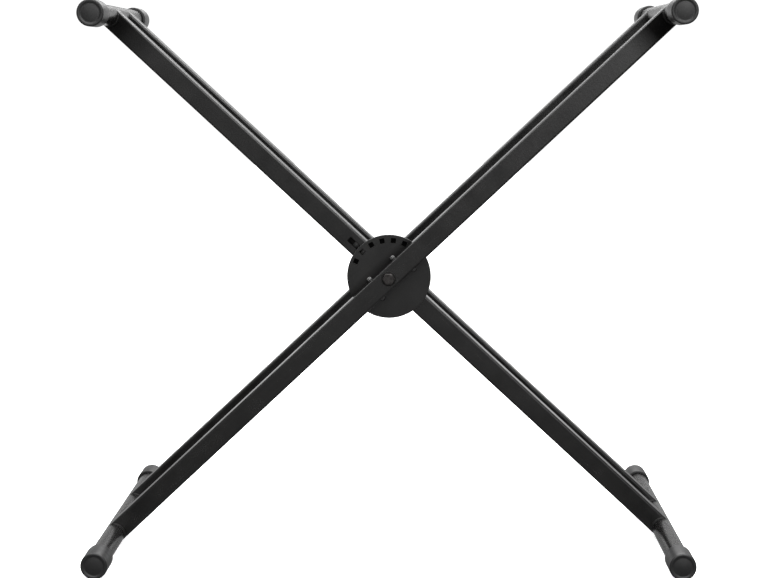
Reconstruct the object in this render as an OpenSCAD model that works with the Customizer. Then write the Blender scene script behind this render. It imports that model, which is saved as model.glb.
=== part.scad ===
/* [Frame] */
// Distance from the pivot to the axis of each top arm
arm_reach = 471; // [380:0.5:560]
// Distance from the pivot to the axis of each foot tube
foot_reach = 471; // [380:0.5:560]
// Angle between the two leg pairs above the pivot, as the stand is set up
open_angle = 93.9; // [80:0.1:110]
// Length of each top arm tube
arm_len = 362; // [260:1:460]
// Length of each foot tube
foot_len = 476; // [300:1:600]
// Clear width between the two legs of the inner pair
inner_clear = 70; // [48:1:110]

/* [Tubes] */
// Width of the square leg tube
leg_w = 25; // [22:0.5:25]
// Wall of the square leg tube
leg_wall = 1.5; // [1.2:0.1:2]
// Outside corner radius of the square leg tube
leg_corner = 2.5; // [2.2:0.1:4]
// Diameter of the round arm and foot tubes
tube_d = 25.4; // [25.2:0.2:32]
// Wall of the round tubes
tube_wall = 1.5; // [1.2:0.1:2.5]
// Throat size of the seam that joins a leg to its round tube
seam = 2.2; // [1:0.1:3.5]

/* [End caps] */
// Outside diameter of the rubber cap
cap_d = 32; // [30:0.5:40]
// Length of the cap over the tube
cap_len = 42; // [25:1:60]
// Thickness of the cap's closed end
cap_face = 4; // [3:0.5:8]
// Radius of the cap's outer rim
cap_edge = 1.6; // [0.8:0.1:2.5]
// Width of the raised ring around the cap's end
cap_ring = 3.4; // [2.6:0.1:4.5]
// Depth of the dished middle of the cap's end
cap_dish = 1; // [0.5:0.1:1.8]

/* [Lock plate] */
// Diameter of the round lock plate
disc_d = 104; // [100:1:120]
// Thickness of the lock plate
disc_t = 3; // [2.5:0.1:4]
// Radius of the circle that the lock holes lie on
hole_r = 45; // [43:0.5:46]
// Side of each square lock hole
hole_w = 6.2; // [6:0.1:7.5]
// Angle from one lock hole to the next
lock_step = 18; // [15:1:20]
// Lock positions that fold the stand from the set-up angle
fold_steps = 5; // [3:1:5]
// Lock positions that open the stand further
open_steps = 1; // [0:1:1]
// Diameter of the bearing disc between the lock plate and the inner front leg
guide_d = 103; // [92:1:118]
// Thickness of the bearing disc at its hub
guide_t = 6; // [4:0.1:8]
// Diameter of the bearing disc's hub, the face that runs on the lock plate
guide_hub = 36; // [30:1:60]
// Clearance between the rest of the bearing disc and the lock plate
guide_gap = 0.3; // [0.2:0.05:0.6]
// Diameter of the pegs that hold the bearing disc on the leg
peg_d = 5; // [3:0.5:6]
// Distance of those pegs from the pivot
peg_out = 30; // [20:0.5:33]

/* [Pivot] */
// Diameter of the pivot bolt
bolt_d = 8; // [6:0.5:10]
// Width across the flats of the bolt head and nut
head_af = 13; // [12:0.5:17]
// Height of the bolt head
head_h = 5.5; // [4:0.1:8]
// Height of the lock nut
nut_h = 8; // [6.5:0.5:12]
// Length of bolt that stands out of the nut
bolt_out = 3; // [1:0.5:8]
// Diameter of the plain washers
washer_d = 18; // [17:0.5:26]
// Thickness of the plain washers
washer_t = 1.6; // [1:0.1:3]
// Outside diameter of the barrel of a pivot bush
bush_d = 12; // [11.5:0.5:15]
// Length of the barrel of a pivot bush
bush_len = 10.5; // [6:0.5:10.5]
// Diameter of the flange of a pivot bush
flange_d = 22; // [17:0.5:30]
// Thickness of the flange of a pivot bush
flange_t = 1; // [0.8:0.1:2]
// Outside diameter of the sleeve between the inner legs
sleeve_d = 16; // [12.5:0.5:24]
// Outside diameter of the stiffening sleeves inside the outer legs
crush_d = 12; // [11.5:0.5:18]
// Radial clearance of the bushes on the bolt
run_gap = 0.06; // [0.02:0.01:0.1]
// Side play between a bush flange and what it runs against
side_play = 0.05; // [0.02:0.01:0.2]
// Reach of the beads that hold the lock plate to its leg
weld_r = 5; // [3.5:0.1:5.5]
// Length of each of those beads
weld_len = 7.5; // [4:0.5:9]
// Radial clearance of the bolt in plain holes
hole_gap = 0.25; // [0.1:0.05:0.5]

/* [Latch] */
// Thickness of the latch lever, across the leg
lever_t = 5.4; // [4.5:0.1:5.6]
// Depth of the arm of the latch lever
lever_h = 5.5; // [4.5:0.1:6]
// Length of the latch tooth along the leg
tooth_w = 4.2; // [3.6:0.1:4.6]
// Clearance of the drawn tooth behind the lock plate
tip_gap = 0.5; // [0.4:0.05:0.7]
// Depth of the lever's front edge below the front face of its leg
lever_in = 2.4; // [2.2:0.1:3]
// Depth of the lever's raised pad below the front face of its leg
pad_in = 0.3; // [0.2:0.1:1]
// Distance of that pad outside the rim of the lock plate
pad_out = 1.5; // [1:0.1:2.5]
// Length of that pad along the leg
pad_len = 4.5; // [3:0.5:5]
// Distance of the hinge pin outside the rim of the lock plate
hinge_out = 30; // [28:1:36]
// Depth of the hinge pin below the front face of its leg
hinge_in = 10.5; // [10.5:0.1:11.2]
// Diameter of the hinge pin
hinge_d = 6; // [5:0.5:7]
// Radius of the lever's boss around the hinge pin
boss_r = 7; // [6:0.1:7.2]
// Side clearance of the lever in the slots of the leg
slot_gap = 0.7; // [0.4:0.1:1]
// How far the front slot reaches past the rim of the lock plate
slot_out = 16; // [14:0.5:17]
// Length of the finger grip along the leg
grip_len = 45; // [38:1:60]
// Width of the finger grip
grip_w = 21; // [19:0.5:24]
// Thickness of the finger grip
grip_t = 8; // [7:0.5:10]
// Space between the leg and the finger grip
grip_gap = 9; // [8:0.5:12]
// Thickness of the steel plate inside the grip
plate_t = 2.5; // [2:0.1:3.5]
// Distance of the return spring outside the hinge pin
spring_out = 31; // [29:1:36]
// Outside diameter of the return spring
spring_d = 8.4; // [8:0.1:10]
// Wire of the return spring
spring_wire = 0.9; // [0.7:0.1:1]
// Number of curls of the return spring
spring_turns = 4.5; // [3:0.5:5]

/* [Hidden] */
$fn = 72;
slope = (180 - open_angle) / 2;
cap_r = cap_d / 2;
tube_r = tube_d / 2;
pivot_z = cap_r + foot_reach * sin(slope);
// Faces along the depth of the stand, counted from its middle
inner_in = inner_clear / 2;
inner_out = inner_in + leg_w;
disc_back = inner_out + guide_t + side_play;
disc_front = disc_back + disc_t;
outer_out = disc_front + leg_w;
inner_mid = inner_in + leg_w / 2;
outer_mid = disc_front + leg_w / 2;
head_seat = outer_out + washer_t;
hex_r = head_af / sqrt(3);
plain_hole = bolt_d + 2 * hole_gap;
run_hole = bolt_d + 2 * run_gap;
// Weld spots of the lock plate: place along the leg and side of it
weld_spots = [[19, 1], [-20, 1], [28.5, -1], [-24, -1]];
// Latch, in the frame of the inner front leg: along it, across the depth, across it
hinge_s = disc_d / 2 + hinge_out;
hinge_y = -inner_out + hinge_in;
tooth_back = 1.4;
tooth_lo = hole_r - tooth_back - tooth_w / 2;
tooth_hi = hole_r - tooth_back + tooth_w / 2;
tooth_tip = -disc_back + tip_gap;
tooth_bevel = 0.5;
shoulder = -inner_out + lever_in;
pad_lo = disc_d / 2 + pad_out;
pad_hi = pad_lo + pad_len;
slot_w = lever_t + 2 * slot_gap;
slot_in_end = tooth_lo - 2.5;
slot_out_end = disc_d / 2 + slot_out;
ramp_hi = pad_hi + 1.5;
ramp_lo = slot_out_end - 1.5;
ramp_y = hinge_y - boss_r + 0.6;
grip_under = -inner_in + grip_gap;
grip_top = grip_under + grip_t;
plate_y = grip_under + (grip_t - plate_t) / 2;
arm_lo = hinge_s + 10;
arm_w = 7;
grip_lo = arm_lo + arm_w + 2;
grip_hi = grip_lo + grip_len;
plate_w = grip_w - 5;
plate_hi = grip_hi - 3;
spring_s = hinge_s + spring_out;
spring_end = 0.05;
stud_r = spring_d / 2 - spring_wire - 0.7;
stud_h = 2.6;

// Places a piece drawn along +X from the pivot onto the outer or the inner leg pair
module on_outer() { translate([0, 0, pivot_z]) rotate([0, -slope, 0]) children(); }
module on_inner() { translate([0, 0, pivot_z]) rotate([0, slope - 180, 0]) children(); }

// A cylinder along Y that starts at y0
module y_rod(d, y0, h) { translate([0, y0, 0]) rotate([-90, 0, 0]) cylinder(d = d, h = h); }

module y_tube(d, bore, y0, h) {
    difference() {
        y_rod(d, y0, h);
        y_rod(bore, y0 - 1, h + 2);
    }
}

module round_square(w, r) {
    square([w, w - 2 * r], center = true);
    square([w - 2 * r, w], center = true);
    for (a = [-1, 1], b = [-1, 1]) translate([a * (w / 2 - r), b * (w / 2 - r)]) circle(r);
}

// The solid outline of a leg, used for the tube and for what is cut back to it
module leg_block(y_mid, w, r) {
    translate([-foot_reach, y_mid, 0]) rotate([90, 0, 90])
        linear_extrude(foot_reach + arm_reach) round_square(w, r);
}

// A square tube whose ends are coped to sit on the round tubes
module leg_tube(y_mid, pivot_hole) {
    difference() {
        leg_block(y_mid, leg_w, leg_corner);
        translate([-1, 0, 0]) leg_block(y_mid, leg_w - 2 * leg_wall, max(0.4, leg_corner - leg_wall));
        translate([1, 0, 0]) leg_block(y_mid, leg_w - 2 * leg_wall, max(0.4, leg_corner - leg_wall));
        for (s = [-foot_reach, arm_reach]) translate([s, 0, 0]) y_rod(tube_d, y_mid - leg_w, 2 * leg_w);
        y_rod(pivot_hole, y_mid - leg_w, 2 * leg_w);
    }
}

module cross_tube(len) { y_tube(tube_d, tube_d - 2 * tube_wall, -len / 2, len); }

// Half outline of the rubber cap: radius across, distance from the end face up
module cap_outline() {
    lip = 0.8;
    dish_r = cap_r - cap_ring;
    difference() {
        union() {
            square([cap_r - cap_edge, cap_len]);
            translate([0, cap_edge]) square([cap_r, cap_len - cap_edge - lip]);
            translate([0, cap_edge]) square([cap_r - lip, cap_len - cap_edge]);
            translate([cap_r - cap_edge, cap_edge]) circle(cap_edge);
            translate([cap_r - lip, cap_len - lip]) circle(lip);
        }
        translate([-cap_d, -1]) square([cap_d, cap_len + 2]);
        translate([-1, cap_face]) square([tube_r + 1, cap_len]);
        // Dished end: a flat floor with a low crown and a sloping wall
        difference() {
            polygon([[-1, -1], [dish_r + cap_dish + 1, -1], [dish_r, cap_dish], [-1, cap_dish]]);
            translate([0, cap_dish * 0.35 + 4 * cap_d]) circle(4 * cap_d, $fn = 360);
        }
    }
}

module end_cap(len, side) {
    mirror([0, side > 0 ? 1 : 0, 0]) translate([0, -len / 2 - cap_face, 0]) rotate([-90, 0, 0])
        rotate_extrude() cap_outline();
}

// One seam: an arc of bead between a leg's flat face and the round tube
module seam_arc(s, y_face, out, toward) {
    half = asin((leg_w / 2 - leg_corner) / tube_r);
    translate([s, y_face, 0]) mirror([0, out > 0 ? 1 : 0, 0]) rotate([90, 0, 0])
        rotate([0, 0, toward - half]) rotate_extrude(angle = 2 * half)
            translate([tube_r, 0]) intersection() {
                circle(seam);
                square(seam + 1);
            }
}

module seams(y_in, y_out) {
    for (side = [-1, 1]) {
        for (f = [[y_in, -side], [y_out, side]]) {
            seam_arc(arm_reach, side * f[0], f[1], 180);
            seam_arc(-foot_reach, side * f[0], f[1], 0);
        }
    }
}

module outer_leg_front() { color([0.16, 0.16, 0.17]) on_outer() leg_tube(-outer_mid, plain_hole); }
module outer_leg_rear() { color([0.16, 0.16, 0.17]) on_outer() leg_tube(outer_mid, plain_hole); }
module outer_arm() { color([0.2, 0.2, 0.22]) on_outer() translate([arm_reach, 0, 0]) cross_tube(arm_len); }
module outer_foot() { color([0.2, 0.2, 0.22]) on_outer() translate([-foot_reach, 0, 0]) cross_tube(foot_len); }
module inner_arm() { color([0.24, 0.24, 0.27]) on_inner() translate([arm_reach, 0, 0]) cross_tube(arm_len); }
module inner_foot() { color([0.24, 0.24, 0.27]) on_inner() translate([-foot_reach, 0, 0]) cross_tube(foot_len); }

module outer_arm_cap_front() { color("dimgray") on_outer() translate([arm_reach, 0, 0]) end_cap(arm_len, -1); }
module outer_arm_cap_rear() { color("dimgray") on_outer() translate([arm_reach, 0, 0]) end_cap(arm_len, 1); }
module outer_foot_cap_front() { color("dimgray") on_outer() translate([-foot_reach, 0, 0]) end_cap(foot_len, -1); }
module outer_foot_cap_rear() { color("dimgray") on_outer() translate([-foot_reach, 0, 0]) end_cap(foot_len, 1); }
module inner_arm_cap_front() { color("dimgray") on_inner() translate([arm_reach, 0, 0]) end_cap(arm_len, -1); }
module inner_arm_cap_rear() { color("dimgray") on_inner() translate([arm_reach, 0, 0]) end_cap(arm_len, 1); }
module inner_foot_cap_front() { color("dimgray") on_inner() translate([-foot_reach, 0, 0]) end_cap(foot_len, -1); }
module inner_foot_cap_rear() { color("dimgray") on_inner() translate([-foot_reach, 0, 0]) end_cap(foot_len, 1); }

module outer_seams() { color([0.3, 0.3, 0.3]) on_outer() seams(disc_front, outer_out); }
module inner_seams() { color([0.3, 0.3, 0.3]) on_inner() seams(inner_in, inner_out); }

// The lock plate: one square hole for each lock position of the inner pair
module lock_disc() {
    ch = 0.5;
    color([0.22, 0.22, 0.24]) on_outer() difference() {
        translate([0, -disc_front, 0]) rotate([-90, 0, 0]) rotate_extrude()
            polygon([[0, 0], [disc_d / 2 - ch, 0], [disc_d / 2, ch], [disc_d / 2, disc_t - ch],
                     [disc_d / 2 - ch, disc_t], [0, disc_t]]);
        y_rod(plain_hole, -disc_front - 1, disc_t + 2);
        for (k = [-fold_steps:open_steps]) rotate([0, -(open_angle + k * lock_step), 0])
            translate([hole_r - hole_w / 2, -disc_front - 1, -hole_w / 2]) cube([hole_w, disc_t + 2, hole_w]);
    }
}

// Short beads that hold the lock plate to the front leg: rounded pucks cut back to both
module disc_welds() {
    edge = weld_len / 4;
    color([0.3, 0.3, 0.3]) on_outer() difference() {
        for (p = weld_spots) translate([p[0] - weld_len / 2, -disc_front, p[1] * leg_w / 2])
            rotate([0, 90, 0]) rotate_extrude() intersection() {
                union() {
                    square([weld_r - edge, weld_len]);
                    translate([0, edge]) square([weld_r, weld_len - 2 * edge]);
                    for (z = [edge, weld_len - edge]) translate([weld_r - edge, z]) circle(edge);
                }
                square([weld_r, weld_len]);
            }
        leg_block(-outer_mid, leg_w, leg_corner);
        translate([-disc_d, -disc_front, -disc_d]) cube(2 * disc_d);
    }
}

module crush_sleeves() {
    color("gray") on_outer() for (side = [-1, 1])
        y_tube(crush_d, plain_hole, side * outer_mid - leg_w / 2 + leg_wall, leg_w - 2 * leg_wall);
}

// Spacer at the back, as thick as the bearing disc in front of its bush and the lock plate
module rear_spacer() {
    from = inner_out + flange_t + side_play;
    color("silver") on_outer() y_tube(flange_d, plain_hole, from, disc_front - from);
}

// Chamfered outline that trims the corners of a hexagon of height h
module hex_trim(h, both) {
    c = hex_r - head_af / 2 * 0.96;
    rotate_extrude() polygon([[0, 0], [both ? hex_r - c : hex_r, 0], [hex_r, both ? c * 0.55 : 0],
                              [hex_r, h - c * 0.55], [hex_r - c, h], [0, h]]);
}

module pivot_bolt() {
    end = head_seat + nut_h + bolt_out;
    color("gainsboro") on_outer() {
        translate([0, -head_seat, 0]) rotate([90, 0, 0]) intersection() {
            rotate([0, 0, -slope]) cylinder(r = hex_r, h = head_h, $fn = 6);
            hex_trim(head_h, false);
        }
        translate([0, -head_seat, 0]) rotate([-90, 0, 0]) rotate_extrude()
            polygon([[0, 0], [bolt_d / 2, 0], [bolt_d / 2, head_seat + end - 1],
                     [bolt_d / 2 - 1, head_seat + end], [0, head_seat + end]]);
    }
}

module bolt_washers() {
    color("silver") on_outer() for (y = [-head_seat, outer_out]) y_tube(washer_d, plain_hole, y, washer_t);
}

// Lock nut: a hexagon with a round collar that holds the insert
module pivot_nut() {
    collar = nut_h * 0.25;
    color("gainsboro") on_outer() difference() {
        translate([0, head_seat, 0]) rotate([-90, 0, 0]) union() {
            intersection() {
                rotate([0, 0, slope]) cylinder(r = hex_r, h = nut_h - collar, $fn = 6);
                hex_trim(nut_h - collar, true);
            }
            cylinder(d = head_af - 1.6, h = nut_h);
        }
        y_rod(bolt_d, head_seat - 1, nut_h + 2);
    }
}

// The front leg of the inner pair, with the slots and the pin hole of the latch
module inner_leg_front() {
    color([0.26, 0.26, 0.3]) on_inner() difference() {
        leg_tube(-inner_mid, bush_d);
        translate([slot_in_end, -inner_out - 1, -slot_w / 2])
            cube([slot_out_end - slot_in_end, leg_wall + 2, slot_w]);
        translate([arm_lo - 3, -inner_in - leg_wall - 1, -slot_w / 2]) cube([arm_w + 6, leg_wall + 2, slot_w]);
        translate([hinge_s, hinge_y, -leg_w]) cylinder(d = hinge_d, h = 2 * leg_w);
        pegs(leg_wall + 1);
        translate([spring_s, 0, 0]) y_rod(2 * stud_r - 1, -inner_in - leg_wall - 1, leg_wall + 2);
    }
}

module inner_leg_rear() { color([0.26, 0.26, 0.3]) on_inner() leg_tube(inner_mid, bush_d); }

// Pegs of the bearing disc, in the front wall of the leg, on both sides of the pivot
module pegs(len) {
    for (s = [-peg_out, peg_out]) translate([s, 0, 0]) y_rod(peg_d, -inner_out - 0.5, len + 0.5);
}

// Moulded bearing disc: recessed over the bush flange, a raised hub face, open where the latch passes
module bearing_disc() {
    r = guide_d / 2;
    rim = 0.6;
    front = guide_t - guide_gap;
    color([0.3, 0.28, 0.26]) on_inner() {
        difference() {
            translate([0, -inner_out, 0]) rotate([90, 0, 0]) rotate_extrude()
                polygon([[run_hole / 2, flange_t], [flange_d / 2 + guide_gap, flange_t],
                         [flange_d / 2 + guide_gap, 0], [r - rim, 0], [r, rim], [r, front - rim],
                         [r - rim, front], [guide_hub / 2 + guide_gap, front], [guide_hub / 2, guide_t],
                         [run_hole / 2, guide_t]]);
            translate([slot_in_end, -inner_out - guide_t - 1, -slot_w / 2])
                cube([r - slot_in_end + 1, guide_t + 2, slot_w]);
        }
        pegs(leg_wall);
    }
}

// One flanged bush in each wall of the inner legs
module pivot_bushes() {
    color("ivory") on_inner() for (face = [inner_in, inner_out], side = [-1, 1]) {
        out = face == inner_out ? 1 : -1;
        mirror([0, side < 0 ? 1 : 0, 0]) difference() {
            union() {
                y_rod(flange_d, out > 0 ? face : face - flange_t, flange_t);
                y_rod(bush_d, out > 0 ? face - bush_len : face, bush_len);
            }
            y_rod(run_hole, face - bush_len - flange_t - 1, 2 * (bush_len + flange_t + 1));
        }
    }
}

module hub_sleeve() {
    len = inner_clear - 2 * flange_t;
    color("dimgray") on_inner() y_tube(sleeve_d, run_hole, -len / 2, len);
}

module latch_pin() {
    color("silver") on_inner() translate([hinge_s, hinge_y, -leg_w / 2]) cylinder(d = hinge_d, h = leg_w);
}

// Stud in the back wall of the leg that centres the return spring
module spring_stud() {
    color("silver") on_inner() translate([spring_s, 0, 0]) {
        y_rod(2 * stud_r, -inner_in, stud_h);
        y_rod(2 * stud_r - 1, -inner_in - leg_wall - 0.5, leg_wall + 0.5);
    }
}

// Return spring, one wire swept along a helix by its own formula
spring_r = (spring_d - spring_wire) / 2;
spring_len = grip_gap - 2 * spring_end - spring_wire;
spring_rings = round(8 * spring_turns);
function spring_mid(i) = [
    spring_r * cos(45 * i),
    -inner_in + spring_end + spring_wire / 2 + spring_len * i / spring_rings,
    spring_r * sin(45 * i)
];
function spring_pt(i, j) = spring_mid(i) + spring_wire / 2 * [
    cos(60 * j) * cos(45 * i), sin(60 * j), cos(60 * j) * sin(45 * i)
];
spring_gaps = [for (i = [0:spring_rings - 5]) for (j = [i + 5:spring_rings])
    norm(spring_mid(i) - spring_mid(j)) - spring_wire];
echo(str("least gap of the return spring to itself, mm: ", min(spring_gaps)));

module latch_spring() {
    color("silver") on_inner() translate([spring_s, 0, 0]) polyhedron(
        points = [for (i = [0:spring_rings]) for (j = [0:5]) spring_pt(i, j)],
        faces = concat(
            [for (i = [0:spring_rings - 1]) for (j = [0:5]) [6 * i + j, 6 * i + 6 + j, 6 * i + (j + 1) % 6]],
            [for (i = [0:spring_rings - 1]) for (j = [0:5])
                [6 * i + 6 + j, 6 * i + 6 + (j + 1) % 6, 6 * i + (j + 1) % 6]],
            [for (j = [1:4]) [0, j, j + 1]],
            [for (j = [1:4]) [6 * spring_rings, 6 * spring_rings + j + 1, 6 * spring_rings + j]]
        )
    );
}

// Rounded tongue that the finger grip is moulded on
module plate_outline(grow) {
    r = plate_w / 2 + grow;
    translate([arm_lo, -r]) square([plate_hi - arm_lo - plate_w / 2, 2 * r]);
    translate([plate_hi - plate_w / 2, 0]) circle(r);
}

// Latch lever: tooth, arm, boss on the hinge pin, and the tongue behind the leg
module latch_lever() {
    color([0.5, 0.5, 0.52]) on_inner() difference() {
        union() {
            linear_extrude(lever_t, center = true) {
                polygon([
                    [tooth_lo, tooth_tip + tooth_bevel], [tooth_lo + tooth_bevel, tooth_tip],
                    [tooth_hi - tooth_bevel, tooth_tip], [tooth_hi, tooth_tip + tooth_bevel],
                    [tooth_hi, shoulder], [pad_lo, shoulder], [pad_lo, pad_in - inner_out],
                    [pad_hi, pad_in - inner_out], [pad_hi + 1, shoulder], [ramp_hi, shoulder],
                    [ramp_lo, ramp_y],
                    [hinge_s - 1.5, ramp_y], [hinge_s, hinge_y],
                    [hinge_s - boss_r * 0.5, hinge_y + boss_r * 0.8],
                    [ramp_hi, shoulder + lever_h + 0.8], [tooth_lo, shoulder + lever_h]
                ]);
                translate([hinge_s, hinge_y]) circle(boss_r);
                polygon([
                    [hinge_s + 2, hinge_y + boss_r * 0.9], [arm_lo, hinge_y + boss_r + 4],
                    [arm_lo, plate_y + plate_t], [arm_lo + arm_w, plate_y + plate_t],
                    [arm_lo + arm_w, hinge_y + boss_r + 2], [hinge_s + boss_r * 0.93, hinge_y], [hinge_s, hinge_y]
                ]);
            }
            translate([0, plate_y, 0]) rotate([-90, 0, 0]) linear_extrude(plate_t) plate_outline(0);
        }
        translate([hinge_s, hinge_y, -lever_t]) cylinder(d = hinge_d + 2 * run_gap, h = 2 * lever_t);
    }
}

module grip_outline() {
    r = 5;
    translate([grip_lo, -grip_w / 2 + r]) square([grip_len, grip_w - 2 * r]);
    translate([grip_lo + r, -grip_w / 2]) square([grip_len - 2 * r, grip_w]);
    for (a = [grip_lo + r, grip_hi - r], b = [-1, 1]) translate([a, b * (grip_w / 2 - r)]) circle(r);
}

// Moulded finger grip, open at the arm's side, with three finger hollows
module trigger_grip() {
    hollow_r = 14;
    color("darkslategray") on_inner() difference() {
        union() {
            translate([0, grip_under, 0]) rotate([-90, 0, 0]) linear_extrude(grip_t) grip_outline();
            translate([spring_s, 0, 0]) y_rod(2 * stud_r, grip_under - stud_h, stud_h + 1);
        }
        translate([0, plate_y, 0]) rotate([-90, 0, 0]) linear_extrude(plate_t) plate_outline(0);
        for (i = [0:2]) translate([grip_lo + grip_len * (2 * i + 1) / 6, grip_top + hollow_r - 1.6, -grip_w])
            cylinder(r = hollow_r, h = 2 * grip_w);
    }
}

outer_leg_front();
outer_leg_rear();
outer_arm();
outer_foot();
outer_arm_cap_front();
outer_arm_cap_rear();
outer_foot_cap_front();
outer_foot_cap_rear();
outer_seams();
lock_disc();
disc_welds();
crush_sleeves();
rear_spacer();
pivot_bolt();
bolt_washers();
pivot_nut();
inner_leg_front();
inner_leg_rear();
inner_arm();
inner_foot();
inner_arm_cap_front();
inner_arm_cap_rear();
inner_foot_cap_front();
inner_foot_cap_rear();
inner_seams();
bearing_disc();
pivot_bushes();
hub_sleeve();
latch_pin();
spring_stud();
latch_spring();
latch_lever();
trigger_grip();
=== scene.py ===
import logging
import math
from dataclasses import dataclass
from enum import Enum
from typing import Iterable, Sequence

import bmesh
import bpy
from mathutils import Matrix, Vector


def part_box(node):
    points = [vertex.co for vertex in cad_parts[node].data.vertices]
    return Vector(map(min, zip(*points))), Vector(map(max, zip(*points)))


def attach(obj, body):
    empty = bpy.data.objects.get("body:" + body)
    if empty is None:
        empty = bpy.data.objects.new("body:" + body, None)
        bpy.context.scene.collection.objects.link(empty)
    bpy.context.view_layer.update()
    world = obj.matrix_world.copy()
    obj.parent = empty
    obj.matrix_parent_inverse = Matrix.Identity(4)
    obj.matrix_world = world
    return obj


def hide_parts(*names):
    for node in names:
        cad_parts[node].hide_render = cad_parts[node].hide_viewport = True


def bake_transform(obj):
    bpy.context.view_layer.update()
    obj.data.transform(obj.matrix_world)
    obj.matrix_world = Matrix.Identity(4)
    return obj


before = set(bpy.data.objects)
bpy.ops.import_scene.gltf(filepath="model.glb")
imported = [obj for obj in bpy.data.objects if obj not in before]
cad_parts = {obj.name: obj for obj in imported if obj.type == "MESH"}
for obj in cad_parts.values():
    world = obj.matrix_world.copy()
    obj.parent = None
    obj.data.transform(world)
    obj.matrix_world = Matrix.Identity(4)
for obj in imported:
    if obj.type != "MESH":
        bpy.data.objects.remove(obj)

log = logging.getLogger("keyboard_stand")
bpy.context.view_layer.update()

MM = 0.001
FULL_TURN = 2 * math.pi
# Vertices closer than this, in metres, are merged
MERGE = 1e-6

Span = tuple[float, float]
Tone = tuple[float, float, float]
Outline = Sequence[tuple[float, float]]
Socket = bpy.types.NodeSocket

# The whole range of a share, and where most values of a noise lie
WHOLE: Span = (0.0, 1.0)
MIDDLE: Span = (0.3, 0.7)
BLACK: Tone = (0.0, 0.0, 0.0)


class Body(str, Enum):
    """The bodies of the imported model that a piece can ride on."""

    OUTER = "outer_frame"
    INNER = "inner_frame"
    LATCH = "latch"


class Slot(str, Enum):
    """The material slots of the record, named with the new pieces."""

    WELD = "painted_weld"
    PLATE = "plate_steel"
    RUBBER = "cap_rubber"
    FASTENER = "dark_fastener"
    SPRING = "spring_steel"
    NYLON = "nylon"
    GRIP = "grip_plastic"


class End(Enum):
    """Which end of a round tube a piece sits on: the sign of its Y."""

    FRONT = -1
    REAR = 1


class NodeBench:
    """Adds and joins the nodes of one shader tree."""

    def __init__(self, tree: bpy.types.NodeTree) -> None:
        """Empties the tree and works on it."""
        self.tree = tree
        self.tree.nodes.clear()

    def node(self, kind: str, **settings: object) -> bpy.types.Node:
        """Adds a node.

        Args:
            kind: Blender's name of the node type.
            **settings: Attributes to set on it.

        Returns:
            The new node.
        """
        made = self.tree.nodes.new(kind)
        for key, value in settings.items():
            setattr(made, key, value)
        return made

    def join(self, source: Socket, target: Socket) -> None:
        """Links an output to an input."""
        self.tree.links.new(source, target)

    def feed(self, source: Socket | float, target: Socket) -> None:
        """Links an output to an input, or sets the input to a number.

        Args:
            source: An output or a number.
            target: The input.
        """
        if isinstance(source, Socket):
            self.join(source, target)
        else:
            target.default_value = source

    def coordinate(self, axis: str, at: Socket) -> Socket:
        """Takes one coordinate out of three.

        Args:
            axis: "X", "Y" or "Z".
            at: The coordinates.

        Returns:
            The value socket.
        """
        made = self.node("ShaderNodeSeparateXYZ")
        self.join(at, made.inputs["Vector"])
        return made.outputs[axis]

    def ranged(self, value: Socket, source: Span,
               target: tuple[Socket | float, Socket | float] = WHOLE) -> Socket:
        """Maps a value from one range to another, held at its ends.

        Args:
            value: The socket to read.
            source: The range that is read.
            target: What its ends become, as numbers or sockets.

        Returns:
            The mapped socket.
        """
        made = self.node("ShaderNodeMapRange", clamp=True)
        for name, end in zip(("From Min", "From Max", "To Min", "To Max"), (*source, *target)):
            self.feed(end, made.inputs[name])
        self.join(value, made.inputs["Value"])
        return made.outputs["Result"]

    def combined(self, operation: str, *values: Socket) -> Socket:
        """Adds or multiplies sockets.

        Args:
            operation: "ADD" or "MULTIPLY".
            *values: Two or more value sockets.

        Returns:
            The socket of the result.
        """
        total = values[0]
        for value in values[1:]:
            made = self.node("ShaderNodeMath", operation=operation)
            self.join(total, made.inputs[0])
            self.join(value, made.inputs[1])
            total = made.outputs["Value"]
        return total


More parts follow.
